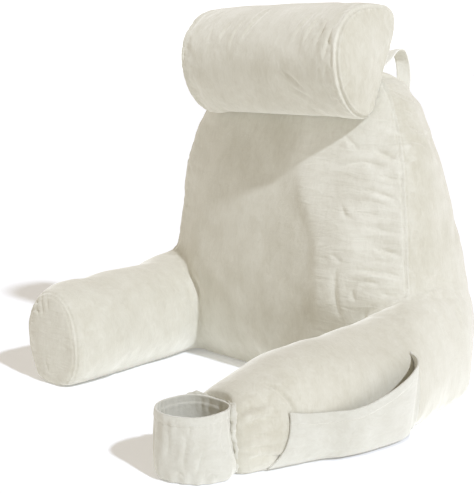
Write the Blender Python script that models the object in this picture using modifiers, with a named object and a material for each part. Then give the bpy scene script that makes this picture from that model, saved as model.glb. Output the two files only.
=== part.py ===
"""Reading pillow with arms: backrest, two arms, neck roll, side pocket, cup holder and neck straps.

Metres, +Z up. The origin is under the middle of the backrest's flat base, the sitter's side is -Y.
"""

from collections import namedtuple
from math import cos, pi, sin

import bmesh
import bpy
import numpy as np

# Driving sizes.
PIECE_GAP = 0.0003
SEAM_GAP = 0.0005
CUTTER_DEPTH = 0.01
BACKREST_FRONT_POWER = 7.0
BACKREST_BACK_POWER = 4.0
BACKREST_BACK_TAPER = 0.07
ARM_TOP_POWER = 2.1
ARM_BASE_POWER = 5.0
ARM_WIDEST_AT = 0.38
ARM_BASE_FLATTENING = 0.04
ARM_EDGE_RADIUS = 0.016
ARM_BURIED_END = 0.085
ROLL_HALF_LENGTH = 0.185
ROLL_EDGE_RADIUS = 0.014
ROLL_END_CROWN = 0.006
STRAP_OFFSET = 0.150
STRAP_WIDTH = 0.025
STRAP_THICKNESS = 0.002
POCKET_THICKNESS = 0.0025
POCKET_CLEARANCE = 0.0016
POCKET_FOOT = 0.005
HOLDER_THICKNESS = 0.003
HOLDER_CENTRE = (0.253, -0.5680)
HOLDER_FOLD_DEPTH = 0.0011
HOLDER_GATHER_DEPTH = 0.0016

Backrest = namedtuple("Backrest", "height half_width front back crown")
BACKREST_SECTIONS = [
    Backrest(0.000, 0.268, -0.112, 0.122, 0.004),
    Backrest(0.014, 0.289, -0.123, 0.132, 0.010),
    Backrest(0.040, 0.304, -0.128, 0.136, 0.018),
    Backrest(0.085, 0.310, -0.130, 0.133, 0.024),
    Backrest(0.183, 0.298, -0.129, 0.114, 0.030),
    Backrest(0.245, 0.287, -0.121, 0.101, 0.030),
    Backrest(0.340, 0.271, -0.110, 0.077, 0.026),
    Backrest(0.400, 0.257, -0.101, 0.062, 0.020),
    Backrest(0.460, 0.230, -0.089, 0.044, 0.012),
    Backrest(0.510, 0.192, -0.074, 0.029, 0.006),
    Backrest(0.536, 0.148, -0.062, 0.018, 0.003),
    Backrest(0.550, 0.096, -0.050, 0.004, 0.001),
    Backrest(0.556, 0.046, -0.040, -0.010, 0.000),
]

# An arm's sections run from its free end back into the backrest; rise lifts the side away from the sitter.
Arm = namedtuple("Arm", "place centre half_width crown rise")
RIGHT_ARM_SECTIONS = [
    Arm(-0.517, 0.246, 0.062, 0.136, 0.034),
    Arm(-0.490, 0.252, 0.069, 0.144, 0.030),
    Arm(-0.440, 0.263, 0.077, 0.150, 0.024),
    Arm(-0.370, 0.272, 0.082, 0.153, 0.018),
    Arm(-0.260, 0.277, 0.085, 0.156, 0.014),
    Arm(-0.190, 0.274, 0.083, 0.163, 0.016),
    Arm(-0.120, 0.266, 0.079, 0.178, 0.024),
    Arm(-0.050, 0.260, 0.076, 0.192, 0.026),
    Arm(0.000, 0.250, 0.076, 0.197, 0.022),
    Arm(0.030, 0.239, 0.071, 0.195, 0.014),
    Arm(0.060, 0.222, 0.065, 0.184, 0.006),
    Arm(0.085, 0.202, 0.054, 0.150, 0.000),
]
LEFT_ARM_SECTIONS = [
    Arm(-0.458, -0.229, 0.075, 0.168, 0.000),
    Arm(-0.430, -0.231, 0.079, 0.173, 0.000),
    Arm(-0.340, -0.238, 0.081, 0.178, 0.000),
    Arm(-0.220, -0.252, 0.083, 0.182, 0.006),
    Arm(-0.130, -0.260, 0.080, 0.188, 0.016),
    Arm(-0.050, -0.260, 0.077, 0.194, 0.024),
    Arm(0.000, -0.250, 0.076, 0.197, 0.022),
    Arm(0.030, -0.239, 0.071, 0.195, 0.014),
    Arm(0.060, -0.222, 0.065, 0.184, 0.006),
    Arm(0.085, -0.202, 0.054, 0.150, 0.000),
]

# The neck roll's cross-section, rounded in front and flattened where it leans on the backrest.
Corner = namedtuple("Corner", "depth height")
ROLL_SECTION = [
    Corner(-0.189, 0.566),
    Corner(-0.181, 0.608),
    Corner(-0.153, 0.642),
    Corner(-0.112, 0.655),
    Corner(-0.070, 0.652),
    Corner(-0.043, 0.634),
    Corner(-0.042, 0.602),
    Corner(-0.058, 0.552),
    Corner(-0.076, 0.500),
    Corner(-0.094, 0.470),
    Corner(-0.122, 0.466),
    Corner(-0.154, 0.484),
    Corner(-0.179, 0.520),
]

# A strap's middle line over the top of the backrest, from the neck roll to the back panel.
STRAP_LINE = [
    Corner(-0.0525, 0.560),
    Corner(-0.0360, 0.558),
    Corner(-0.0120, 0.564),
    Corner(0.0120, 0.577),
    Corner(0.0280, 0.567),
    Corner(0.0345, 0.540),
    Corner(0.0365, 0.505),
    Corner(0.0405, 0.470),
    Corner(0.0490, 0.440),
]

# The side pocket's opening edge along the right arm: its height, and how far it stands off the arm there.
Edge = namedtuple("Edge", "place height stand_off")
POCKET_EDGE = [
    Edge(-0.450, 0.080, 0.002),
    Edge(-0.410, 0.070, 0.006),
    Edge(-0.380, 0.073, 0.012),
    Edge(-0.320, 0.086, 0.021),
    Edge(-0.250, 0.110, 0.028),
    Edge(-0.225, 0.118, 0.021),
    Edge(-0.210, 0.123, 0.010),
]
POCKET_FRONT_FOOT = -0.477
POCKET_ROWS = (0.0, 0.05, 0.12, 0.22, 0.36, 0.52, 0.68, 0.84, 1.0)

Ring = namedtuple("Ring", "height radius")
HOLDER_RINGS = [
    Ring(0.0000, 0.020),
    Ring(0.0000, 0.042),
    Ring(0.0025, 0.0480),
    Ring(0.0100, 0.0515),
    Ring(0.0270, 0.0525),
    Ring(0.0480, 0.0510),
    Ring(0.0700, 0.0500),
    Ring(0.0870, 0.0495),
    Ring(0.0970, 0.0490),
]

# Cloth colours, linear.
IVORY_PLUSH = (0.72, 0.70, 0.61, 1.0)
IVORY_SHADE = (0.66, 0.64, 0.55, 1.0)
HEM_IVORY = (0.76, 0.74, 0.66, 1.0)


def clear_scene():
    for item in list(bpy.data.objects):
        bpy.data.objects.remove(item, do_unlink=True)


def make_collection(name):
    group = bpy.data.collections.new(name)
    bpy.context.scene.collection.children.link(group)
    return group


def make_material(name, color, roughness):
    material = bpy.data.materials.new(name)
    material.use_nodes = True
    shader = material.node_tree.nodes["Principled BSDF"]
    shader.inputs["Base Color"].default_value = color
    shader.inputs["Roughness"].default_value = roughness
    shader.inputs["Metallic"].default_value = 0.0
    return material


def smooth_column(rows, key, name, at):
    """Value of a table's column at the given places, along a smooth curve through its rows."""
    places = np.array([getattr(row, key) for row in rows])
    values = np.array([getattr(row, name) for row in rows])
    at = np.clip(np.asarray(at, float), places[0], places[-1])
    slopes = np.gradient(values, places)
    low = np.clip(np.searchsorted(places, at, side="right") - 1, 0, len(places) - 2)
    span = places[low + 1] - places[low]
    t = (at - places[low]) / span
    start = (1 + 2 * t) * (1 - t) ** 2 * values[low] + t * (1 - t) ** 2 * span * slopes[low]
    end = t * t * (3 - 2 * t) * values[low + 1] + t * t * (t - 1) * span * slopes[low + 1]
    return start + end


def spread_evenly(points, count, closed):
    """The same line through count points an equal distance apart."""
    points = np.asarray(points, float)
    if closed:
        points = np.vstack([points, points[:1]])
    steps = np.linalg.norm(np.diff(points, axis=0), axis=1)
    travelled = np.concatenate([[0.0], np.cumsum(steps)])
    wanted = np.linspace(0.0, travelled[-1], count + 1)[:-1] if closed \
        else np.linspace(0.0, travelled[-1], count)
    return np.column_stack([np.interp(wanted, travelled, axis) for axis in points.T])


def curve_through(corners, count, closed):
    """A smooth line through the corners, as count evenly spaced (depth, height) points."""
    points = np.array([(corner.depth, corner.height) for corner in corners])
    if closed:
        padded = np.vstack([points[-1:], points, points[:2]])
    else:
        padded = np.vstack([2 * points[0] - points[1], points, 2 * points[-1] - points[-2]])
    fine = []
    for index in range(1, len(padded) - 2):
        before, start, end, after = padded[index - 1:index + 3]
        for t in np.linspace(0.0, 1.0, 16, endpoint=False):
            fine.append(0.5 * (2 * start + (end - before) * t
                               + (2 * before - 5 * start + 4 * end - after) * t * t
                               + (3 * start - before - 3 * end + after) * t ** 3))
    if not closed:
        fine.append(padded[-2])
    return spread_evenly(fine, count, closed)


def signed_power(value, power):
    return np.sign(value) * np.abs(value) ** power


def loft(name, rings, group, material, close_around=True):
    """Joins rings of points into one skin, and closes both ends with a flat face."""
    mesh = bmesh.new()
    rows = [[mesh.verts.new(point) for point in ring] for ring in rings]
    count = len(rows[0])
    for row, next_row in zip(rows, rows[1:]):
        for index in range(count if close_around else count - 1):
            following = (index + 1) % count
            mesh.faces.new((row[index], row[following], next_row[following], next_row[index]))
    if close_around:
        mesh.faces.new(list(reversed(rows[0])))
        mesh.faces.new(rows[-1])
        bmesh.ops.recalc_face_normals(mesh, faces=mesh.faces)
    for face in mesh.faces:
        face.smooth = True
    data = bpy.data.meshes.new(name)
    mesh.to_mesh(data)
    mesh.free()
    piece = bpy.data.objects.new(name, data)
    data.materials.append(material)
    group.objects.link(piece)
    return piece


def backrest_ring(height):
    """A level section of the backrest: square-cornered in front, rounder and narrower behind."""
    half_width = float(smooth_column(BACKREST_SECTIONS, "height", "half_width", height))
    front = float(smooth_column(BACKREST_SECTIONS, "height", "front", height))
    back = float(smooth_column(BACKREST_SECTIONS, "height", "back", height))
    crown = float(smooth_column(BACKREST_SECTIONS, "height", "crown", height))
    turn = np.linspace(0.0, 2 * pi, 720, endpoint=False)
    power = np.where(np.sin(turn) < 0, BACKREST_FRONT_POWER, BACKREST_BACK_POWER)
    across = signed_power(np.cos(turn), 2 / power)
    deep = signed_power(np.sin(turn), 2 / power)
    middle = (front + back) / 2
    half_depth = (back - front) / 2
    x = half_width * across * (1 - BACKREST_BACK_TAPER * (deep + 1) / 2)
    y = middle + half_depth * deep - crown * (1 - across ** 2) * (deep < 0) * np.abs(deep)
    outline = spread_evenly(np.column_stack([x, y]), 44, closed=True)
    return [(px, py, height) for px, py in outline]


def make_backrest(group, material):
    rows = [section.height for section in BACKREST_SECTIONS]
    wide_steps = [(low + high) / 2 for low, high in zip(rows, rows[1:]) if high - low > 0.04]
    rings = [backrest_ring(height) for height in sorted(rows + wide_steps)]
    return loft("backrest", rings, group, material)


def make_seam_cutter(backrest, group):
    """The backrest's form, pushed out by the seam gap and carried below the floor."""
    grown = bmesh.new()
    grown.from_mesh(backrest.data)
    grown.normal_update()
    moves = [(vert, vert.normal * SEAM_GAP) for vert in grown.verts]
    for vert, move in moves:
        vert.co += move
        if vert.co.z < SEAM_GAP:
            vert.co.z = -CUTTER_DEPTH
    data = bpy.data.meshes.new("seam cutter")
    grown.to_mesh(data)
    grown.free()
    cutter = bpy.data.objects.new("seam cutter", data)
    cutter.hide_render = True
    cutter.display_type = "WIRE"
    group.objects.link(cutter)
    return cutter


def arm_section(sections, place, inset):
    """An arm's section across its length: flat below, upright sides and a round top."""
    centre = float(smooth_column(sections, "place", "centre", place))
    half_width = float(smooth_column(sections, "place", "half_width", place)) - inset
    crown = float(smooth_column(sections, "place", "crown", place)) - inset
    rise = float(smooth_column(sections, "place", "rise", place))
    outward = np.sign(centre)
    turn = np.linspace(0.0, 2 * pi, 720, endpoint=False)
    power = np.where(np.sin(turn) < 0, ARM_BASE_POWER, ARM_TOP_POWER)
    across = signed_power(np.cos(turn), 2 / power)
    upright = signed_power(np.sin(turn), 2 / power)
    widest = ARM_WIDEST_AT * crown
    below = widest * ((1 + upright) * (1 + ARM_BASE_FLATTENING) - ARM_BASE_FLATTENING)
    above = widest + (crown - widest + rise * across * outward) * upright
    x = centre + half_width * across
    z = np.where(upright < 0, np.maximum(below, 0.0), above)
    outline = spread_evenly(np.column_stack([x, z]), 36, closed=True)
    return [(px, place, pz) for px, pz in outline]


def arm_outer_side(sections, place, height):
    """How far out an arm's side reaches at a place along it and a height above the floor."""
    centre = float(smooth_column(sections, "place", "centre", place))
    half_width = float(smooth_column(sections, "place", "half_width", place))
    crown = float(smooth_column(sections, "place", "crown", place))
    rise = float(smooth_column(sections, "place", "rise", place))
    widest = ARM_WIDEST_AT * crown
    if height < widest:
        lower = 1 - (height / widest + ARM_BASE_FLATTENING) / (1 + ARM_BASE_FLATTENING)
        return centre + half_width * (1 - lower ** ARM_BASE_POWER) ** (1 / ARM_BASE_POWER)
    across = 1.0
    for _ in range(4):
        upper = min((height - widest) / (crown - widest + rise * across), 1.0)
        across = (1 - upper ** ARM_TOP_POWER) ** (1 / ARM_TOP_POWER)
    return centre + half_width * across


def make_arm(name, sections, cutter, group, material):
    """An arm with a soft edge round its end panel, cut to meet the backrest."""
    end = sections[0].place
    rings = []
    for part in (0.0, 0.12, 0.4, 1.0):
        inset = ARM_EDGE_RADIUS * (1 - (1 - (1 - part) ** 2) ** 0.5)
        rings.append(arm_section(sections, end + ARM_EDGE_RADIUS * part, inset))
    for place in np.linspace(end + 2.2 * ARM_EDGE_RADIUS, ARM_BURIED_END, 17):
        rings.append(arm_section(sections, place, 0.0))
    arm = loft(name, rings, group, material)
    cut = arm.modifiers.new("Meet the backrest", "BOOLEAN")
    cut.operation = "DIFFERENCE"
    cut.object = cutter
    return arm


def roll_ring(outline, x, size):
    middle = outline.mean(axis=0)
    return [(x, y, z) for y, z in middle + (outline - middle) * size]


def make_neck_roll(cutter, group, material):
    """A filled roll with slightly domed end panels, pressed against the top of the backrest."""
    outline = curve_through(ROLL_SECTION, 34, closed=True)
    radius = 0.5 * (outline[:, 1].max() - outline[:, 1].min())
    half = []
    for part in (1.0, 0.72, 0.4, 0.0):
        half.append((ROLL_HALF_LENGTH + ROLL_END_CROWN * part ** 0.5, 1 - ROLL_EDGE_RADIUS / radius - 0.5 * part))
    for part in (0.25, 0.65, 1.0):
        inset = ROLL_EDGE_RADIUS * (1 - (1 - (1 - part) ** 2) ** 0.5)
        half.append((ROLL_HALF_LENGTH - ROLL_EDGE_RADIUS * part, 1 - inset / radius))
    half += [(0.115, 1.012), (0.045, 1.018)]
    stations = [(-x, size) for x, size in half] + [(x, size) for x, size in reversed(half)]
    rings = [roll_ring(outline, x, size) for x, size in stations]
    roll = loft("neck_roll", rings, group, material)
    cut = roll.modifiers.new("Press on the backrest", "BOOLEAN")
    cut.operation = "DIFFERENCE"
    cut.object = cutter
    return roll


def make_strap_mesh(group, material):
    """One strap about its own middle line, a thin band swept from the roll to the back panel."""
    line = curve_through(STRAP_LINE, 26, closed=False)
    heading = np.gradient(line, axis=0)
    heading /= np.linalg.norm(heading, axis=1)[:, None]
    side = np.column_stack([-heading[:, 1], heading[:, 0]]) * STRAP_THICKNESS / 2
    half = STRAP_WIDTH / 2
    rings = []
    for (y, z), (dy, dz) in zip(line, side):
        rings.append([(-half, y - dy, z - dz), (half, y - dy, z - dz),
                      (half, y + dy, z + dz), (-half, y + dy, z + dz)])
    return loft("neck_strap_right", rings, group, material)


def make_straps(group, material):
    right = make_strap_mesh(group, material)
    right.location.x = STRAP_OFFSET
    left = bpy.data.objects.new("neck_strap_left", right.data)
    left.location.x = -STRAP_OFFSET
    group.objects.link(left)


def make_side_pocket(group, material):
    """A panel sewn to the right arm at its front, foot and rear, and open along its drooping top edge."""
    first, last = POCKET_EDGE[0].place, POCKET_EDGE[-1].place
    rings = []
    for along in np.linspace(0.0, 1.0, 19):
        ring = []
        for up in POCKET_ROWS:
            start = POCKET_FRONT_FOOT + (first - POCKET_FRONT_FOOT) * up
            place = start + (last - start) * along
            edge_place = first + (last - first) * along
            edge = float(smooth_column(POCKET_EDGE, "place", "height", edge_place))
            stand_off = float(smooth_column(POCKET_EDGE, "place", "stand_off", edge_place))
            height = POCKET_FOOT + (edge - POCKET_FOOT) * up
            side = arm_outer_side(RIGHT_ARM_SECTIONS, place, height)
            bulge = stand_off * (1 - (1 - up) ** 4) ** 0.75
            ring.append((side + POCKET_CLEARANCE + bulge, place, height))
        rings.append(ring)
    pocket = loft("side_pocket", rings, group, material, close_around=False)
    thicken = pocket.modifiers.new("Cloth thickness", "SOLIDIFY")
    thicken.thickness = POCKET_THICKNESS
    thicken.offset = -1.0
    return pocket


def holder_ring(ring, rear):
    """One level of the cup holder, with soft upright folds and a flat back sewn to the arm's end."""
    points = []
    gather = max(0.0, 1 - ring.height / 0.03)
    for index in range(40):
        turn = 2 * pi * index / 40
        fold = 0.6 * sin(3 * turn + 0.7) + 0.4 * sin(7 * turn + 2.1)
        pleat = sin(10 * turn + 0.4) * gather
        radius = ring.radius + HOLDER_FOLD_DEPTH * fold + HOLDER_GATHER_DEPTH * pleat
        points.append((radius * cos(turn), min(radius * sin(turn), rear), ring.height))
    return points


def make_cup_holder(group, material):
    """A round open-topped pocket on the right arm's end, drawn in at its base."""
    rear = RIGHT_ARM_SECTIONS[0].place - PIECE_GAP - HOLDER_CENTRE[1]
    rings = [holder_ring(ring, rear) for ring in HOLDER_RINGS]
    holder = loft("cup_holder", rings, group, material, close_around=True)
    rim = HOLDER_RINGS[-1].height
    shell = bmesh.new()
    shell.from_mesh(holder.data)
    lid = [face for face in shell.faces if len(face.verts) > 4 and face.calc_center_median().z > 0.5 * rim]
    bmesh.ops.delete(shell, geom=lid, context="FACES_ONLY")
    shell.to_mesh(holder.data)
    shell.free()
    holder.location = (HOLDER_CENTRE[0], HOLDER_CENTRE[1], 0.0)
    thicken = holder.modifiers.new("Cloth thickness", "SOLIDIFY")
    thicken.thickness = HOLDER_THICKNESS
    thicken.offset = -1.0
    return holder


def main():
    clear_scene()
    pillow = make_collection("reading pillow with arms")
    cutters = make_collection("cutters")
    plush = make_material("Ivory plush", IVORY_PLUSH, 0.9)
    strap_cloth = make_material("Ivory strap cloth", IVORY_SHADE, 0.85)
    hemmed_plush = make_material("Hemmed ivory plush", HEM_IVORY, 0.9)

    backrest = make_backrest(pillow, plush)
    seam_cutter = make_seam_cutter(backrest, cutters)
    make_arm("arm_right", RIGHT_ARM_SECTIONS, seam_cutter, pillow, plush)
    make_arm("arm_left", LEFT_ARM_SECTIONS, seam_cutter, pillow, plush)
    make_neck_roll(seam_cutter, pillow, plush)
    make_straps(pillow, strap_cloth)
    make_side_pocket(pillow, hemmed_plush)
    make_cup_holder(pillow, hemmed_plush)


main()
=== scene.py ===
import math

import bmesh
import bpy
import numpy as np
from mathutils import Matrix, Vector
from mathutils.bvhtree import BVHTree


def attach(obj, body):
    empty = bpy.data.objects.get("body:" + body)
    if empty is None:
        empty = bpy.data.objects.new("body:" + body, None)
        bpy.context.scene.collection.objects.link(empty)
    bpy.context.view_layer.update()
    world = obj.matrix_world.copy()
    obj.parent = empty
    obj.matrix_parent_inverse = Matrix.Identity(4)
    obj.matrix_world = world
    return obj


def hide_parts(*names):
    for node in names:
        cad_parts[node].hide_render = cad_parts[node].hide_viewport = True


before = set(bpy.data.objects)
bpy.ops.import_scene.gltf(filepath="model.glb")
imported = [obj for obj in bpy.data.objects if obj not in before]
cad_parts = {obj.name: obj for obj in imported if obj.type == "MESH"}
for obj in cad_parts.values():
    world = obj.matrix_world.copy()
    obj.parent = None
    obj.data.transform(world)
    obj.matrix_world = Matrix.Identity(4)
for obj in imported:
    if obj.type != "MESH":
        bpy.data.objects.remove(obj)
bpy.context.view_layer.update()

scene = bpy.context.scene
mm = 0.001


def toLinear(hexColor):  # sRGB hex to linear RGBA
    channels = [int(hexColor[i:i + 2], 16) / 255 for i in (1, 3, 5)]
    return tuple(c / 12.92 if c <= 0.04045 else ((c + 0.055) / 1.055) ** 2.4 for c in channels) + (1.0,)


def addNode(tree, kind, settings=None, links=None):
    # settings: values of attributes or sockets; links: the output that feeds each socket
    node = tree.nodes.new(kind)
    for key, value in (settings or {}).items():
        if isinstance(key, str) and hasattr(node, key):
            setattr(node, key, value)
        else:
            node.inputs[key].default_value = value
    for key, output in (links or {}).items():
        tree.links.new(output, node.inputs[key])
    return node


def shadeSmooth(mesh, smooth=True):
    mesh.polygons.foreach_set("use_smooth", [smooth] * len(mesh.polygons))


def newPiece(name, mesh, material, smooth=True):
    piece = bpy.data.objects.new(name, mesh)
    scene.collection.objects.link(piece)
    mesh.materials.clear()
    mesh.materials.append(material)
    shadeSmooth(mesh, smooth)
    return piece


def readRows(items, attribute):  # three numbers for each item
    rows = np.empty(len(items) * 3)
    items.foreach_get(attribute, rows)
    return rows.reshape(-1, 3)


def readSurface(piece):  # the points of a piece and the normals there
    return readRows(piece.data.vertices, "co"), readRows(piece.data.vertex_normals, "vector")


def writePoints(piece, points):
    piece.data.vertices.foreach_set("co", np.ascontiguousarray(points, float).ravel())
    piece.data.update()


def bakeModifiers(piece):  # the piece keeps the shape its modifiers give it
    graph = bpy.context.evaluated_depsgraph_get()
    graph.update()
    baked = bpy.data.meshes.new_from_object(piece.evaluated_get(graph))
    old = piece.data
    piece.modifiers.clear()
    piece.data = baked
    bpy.data.meshes.remove(old)
    shadeSmooth(baked)


def addWall(piece, thickness, offset):  # gives a sheet its cloth thickness
    wall = piece.modifiers.new("wall", "SOLIDIFY")
    wall.thickness = thickness
    wall.offset = offset


def keepOutside(piece, cover, clearance):  # moves out whatever lies below the cover
    clear = piece.modifiers.new("outside", "SHRINKWRAP")
    clear.target = cover
    clear.wrap_method = "NEAREST_SURFACEPOINT"
    clear.wrap_mode = "OUTSIDE"
    clear.offset = clearance


def faceOutwards(mesh):
    facing = bmesh.new()
    facing.from_mesh(mesh)
    bmesh.ops.recalc_face_normals(facing, faces=facing.faces)
    facing.to_mesh(mesh)
    facing.free()


def rampUp(value, start, over):  # 0 as far as start, then evenly up to 1
    return np.clip((value - start) / over, 0, 1)


def bell(off, width):  # 1 in the middle, falling away on both sides
    return np.exp(-(off / width) ** 2)


def splineThrough(points, count, closed=False):
    # smooth line: each span is the cubic whose ends point along the line joining its neighbours
    points = np.asarray(points, float)
    if closed:
        padded = np.vstack([points[-1:], points, points[:2]])
    else:
        padded = np.vstack([2 * points[0] - points[1], points, 2 * points[-1] - points[-2]])
    t = np.linspace(0, 1, 24, endpoint=False)[None, :, None]
    before, start, end, after = (padded[i:len(padded) - 3 + i, None, :] for i in range(4))
    fine = 0.5 * (2 * start + (end - before) * t + (2 * before - 5 * start + 4 * end - after) * t ** 2
                  + (3 * start - before - 3 * end + after) * t ** 3)
    fine = fine.reshape(-1, points.shape[1])
    fine = np.vstack([fine, fine[:1] if closed else padded[-2:-1]])
    travelled = np.concatenate([[0], np.cumsum(np.linalg.norm(np.diff(fine, axis=0), axis=1))])
    wanted = np.linspace(0, travelled[-1], count + 1)[:-1] if closed else np.linspace(0, travelled[-1], count)
    return np.column_stack([np.interp(wanted, travelled, axis) for axis in fine.T])


def tableColumn(table, column, at):
    # smooth value of one column at the given places: cubic through the rows, slopes by central difference
    places, values = table[:, 0], table[:, column]
    at = np.clip(np.asarray(at, float), places[0], places[-1])
    slopes = np.gradient(values, places)
    low = np.clip(np.searchsorted(places, at, side="right") - 1, 0, len(places) - 2)
    span = places[low + 1] - places[low]
    t = (at - places[low]) / span
    return ((1 + 2 * t) * (1 - t) ** 2 * values[low] + t * (1 - t) ** 2 * span * slopes[low]
            + t * t * (3 - 2 * t) * values[low + 1] + t * t * (t - 1) * span * slopes[low + 1])


def skinGrid(name, grid, material, wrap=True, caps=True):
    # grid[i, j] is ring i, place j round it; neighbours make quads, and an end ring closes on its own middle,
    # both of them or, with caps="foot", only the first
    rows, columns = grid.shape[:2]
    index = np.arange(rows * columns).reshape(rows, columns)
    right = np.roll(index, -1, axis=1)
    quads = np.stack([index[:-1], right[:-1], right[1:], index[1:]], axis=-1)
    if not wrap:
        quads = quads[:, :-1]
    points = grid.reshape(-1, 3)
    faces = quads.reshape(-1, 4).tolist()
    if caps:
        points = np.vstack([points, grid[0].mean(axis=0), grid[-1].mean(axis=0)][:3 if caps is True else 2])
        foot, top = rows * columns, rows * columns + 1
        faces += [(right[0, j], index[0, j], foot) for j in range(columns)]
        faces += [(index[-1, j], right[-1, j], top) for j in range(columns)] if caps is True else []
    mesh = bpy.data.meshes.new(name)
    mesh.from_pydata(points.tolist(), [], faces)
    if caps:
        faceOutwards(mesh)
    mesh.update()
    return newPiece(name, mesh, material)


def addNoise(tree, size, detail, roughness, distortion, place):
    return addNode(tree, "ShaderNodeTexNoise", {
        "Scale": 1 / size, "Detail": detail, "Roughness": roughness, "Distortion": distortion},
        {"Vector": place}).outputs["Fac"]


def addMath(tree, operation, *values):  # each value is a number or the output of another node
    settings = {place: value for place, value in enumerate(values) if isinstance(value, float)}
    links = {place: value for place, value in enumerate(values) if not isinstance(value, float)}
    return addNode(tree, "ShaderNodeMath", {"operation": operation, **settings}, links).outputs[0]


plushLook = {
    "brushedDown": "#beb9a6", "brushedUp": "#dedccf", "turnsAt": (0.22, 0.78), "napPaintedLightShare": 0.16,
    "sheenTint": "#fffdf4", "roughness": 0.95, "sheen": 1.0, "sheenRoughness": 0.6,
    "strokeSize": 26 * mm, "strokeStretch": (1.0, 1.0, 0.45), "patchSize": 90 * mm, "patchShare": 0.42,
    "crushSize": 9 * mm, "crushShare": 0.34,
    "creaseSize": 17 * mm, "creaseStretch": (0.3, 0.3, 1.3), "paintedCreaseShade": 0.3,
    "pileSize": 1.6 * mm,  # real pile is finer, drawn this coarse so that it shows
    # strength and depth in mm of pile, crush marks, strokes and creases
    "bumps": ((0.35, 0.6), (0.4, 1.5), (0.35, 1.6), (0.55, 3.0)),
}


def plushMaterial(name, **changes):
    # velvet plush: short dense pile, so it is matt, catches light at grazing angles, and shows lighter and
    # darker strokes where the pile was brushed one way or the other
    look = dict(plushLook, **changes)
    material = bpy.data.materials.new(name)
    material.use_nodes = True
    tree = material.node_tree
    tree.nodes.clear()
    place = addNode(tree, "ShaderNodeTexCoord").outputs["Object"]
    brushed, creased = (
        addNode(tree, "ShaderNodeMapping", {"Scale": look[stretch]}, {"Vector": place}).outputs["Vector"]
        for stretch in ("strokeStretch", "creaseStretch"))
    strokes = addNoise(tree, look["strokeSize"], 4.0, 0.6, 0.6, brushed)
    patches = addNoise(tree, look["patchSize"], 3.0, 0.55, 0.3, place)
    crush = addNoise(tree, look["crushSize"], 3.0, 0.65, 1.4, brushed)
    creases = addNoise(tree, look["creaseSize"], 2.5, 0.5, 1.2, creased)
    pile = addNoise(tree, look["pileSize"], 3.0, 0.7, 0.0, place)
    # numbers kept on the points: the pile's direction on each panel together with painted light and shade, and
    # where the cover is loose
    napPaintedLight, loose = (addNode(tree, "ShaderNodeAttribute", {"attribute_name": kept}).outputs["Fac"]
                  for kept in ("napPaintedLight", "wrinkled"))
    shade = strokes
    for share, layer in ((look["patchShare"], patches), (look["crushShare"], crush)):
        mix = addNode(tree, "ShaderNodeMix", {"data_type": "FLOAT", 0: share}, {2: shade, 3: layer})
        shade = mix.outputs[0]
    wrinkles = addMath(tree, "MULTIPLY", creases, loose)
    # painted light and shade: the number on the points shifts the tone lighter or darker
    shade = addMath(tree, "MULTIPLY_ADD", napPaintedLight, look["napPaintedLightShare"], shade)
    # painted shade and light of the fine creases: the crease pattern goes into the colour as well as into the
    # bump
    shade = addMath(tree, "MULTIPLY_ADD", wrinkles, look["paintedCreaseShade"], shade)
    shade = addMath(tree, "MULTIPLY_ADD", loose, -look["paintedCreaseShade"] / 2, shade)  # keeps the mean
    ramp = addNode(tree, "ShaderNodeValToRGB", None, {"Fac": shade})
    ends = zip(ramp.color_ramp.elements, look["turnsAt"], ("brushedDown", "brushedUp"))
    for element, position, key in ends:
        element.position = position
        element.color = toLinear(look[key])
    links = {}
    for layer, (strength, depth) in zip((pile, crush, strokes, wrinkles), look["bumps"]):
        bump = addNode(tree, "ShaderNodeBump", {"Strength": strength, "Distance": depth * mm},
                       dict(links, Height=layer))
        links = {"Normal": bump.outputs["Normal"]}
    shader = addNode(tree, "ShaderNodeBsdfPrincipled", {
        "Roughness": look["roughness"], "IOR": 1.45, "Specular IOR Level": 0.25,
        "Sheen Weight": look["sheen"], "Sheen Roughness": look["sheenRoughness"],
        "Sheen Tint": toLinear(look["sheenTint"])},
        {"Base Color": ramp.outputs["Color"], **links})
    addNode(tree, "ShaderNodeOutputMaterial", None, {"Surface": shader.outputs["BSDF"]})
    return material


plush = plushMaterial("velvetPlushIvory")
rollPlush = plushMaterial("velvetPlushRoll", creaseStretch=(1.3, 0.4, 0.4))
# painted shade: the doubled hem pieces (pocket, cup holder and its seam) take a darker copy of the plush
hemPlushShaded = plushMaterial("velvetPlushDoubledHemShaded", strokeStretch=(1.0, 0.5, 1.0),
                         brushedDown="#b9b5a5", brushedUp="#d7d6cb")
# painted light: the straps take a lighter copy of the plush
strapPlushLit = plushMaterial("velvetPlushStrapLit", brushedDown="#e2e0d4", brushedUp="#f5f4ec")
thread = bpy.data.materials.new("polyesterThread")  # twisted thread: smoother than the pile, a soft shine
thread.use_nodes = True
threadTree = thread.node_tree
threadShader = threadTree.nodes["Principled BSDF"]
threadShader.inputs["Roughness"].default_value = 0.55
threadPlace = addNode(threadTree, "ShaderNodeTexCoord").outputs["Object"]
threadTwist = addNoise(threadTree, 0.8 * mm, 1.0, 0.5, 0.0, threadPlace)
threadRamp = addNode(threadTree, "ShaderNodeValToRGB", None, {"Fac": threadTwist})
threadRamp.color_ramp.elements[0].color = toLinear("#c9c5b5")
threadRamp.color_ramp.elements[1].color = toLinear("#dedbcf")
threadTree.links.new(threadRamp.outputs["Color"], threadShader.inputs["Base Color"])
print("materials made")


# sections as in the solids, rounder at the foot, in mm: height, half width, front, back, crown
backrestSections = np.array([
    [0, 258, -112, 96, 4],
    [14, 284, -124, 117, 10],
    [40, 304, -129, 129, 18],
    [85, 311, -130, 132, 24],
    [183, 300, -129, 120, 30],
    [245, 290, -121, 110, 30],
    [340, 274, -110, 86, 26],
    [400, 261, -101, 71, 20],
    [460, 238, -89, 57, 12],
    [510, 203, -74, 47, 6],
    [536, 171, -62, 38, 3],
    [550, 122, -50, 22, 1],
    [556, 58, -40, 4, 0],
]) / 1000
backrestForm = {"frontPower": 7.0, "backPower": 4.8, "backTaper": 0.07}

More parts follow.
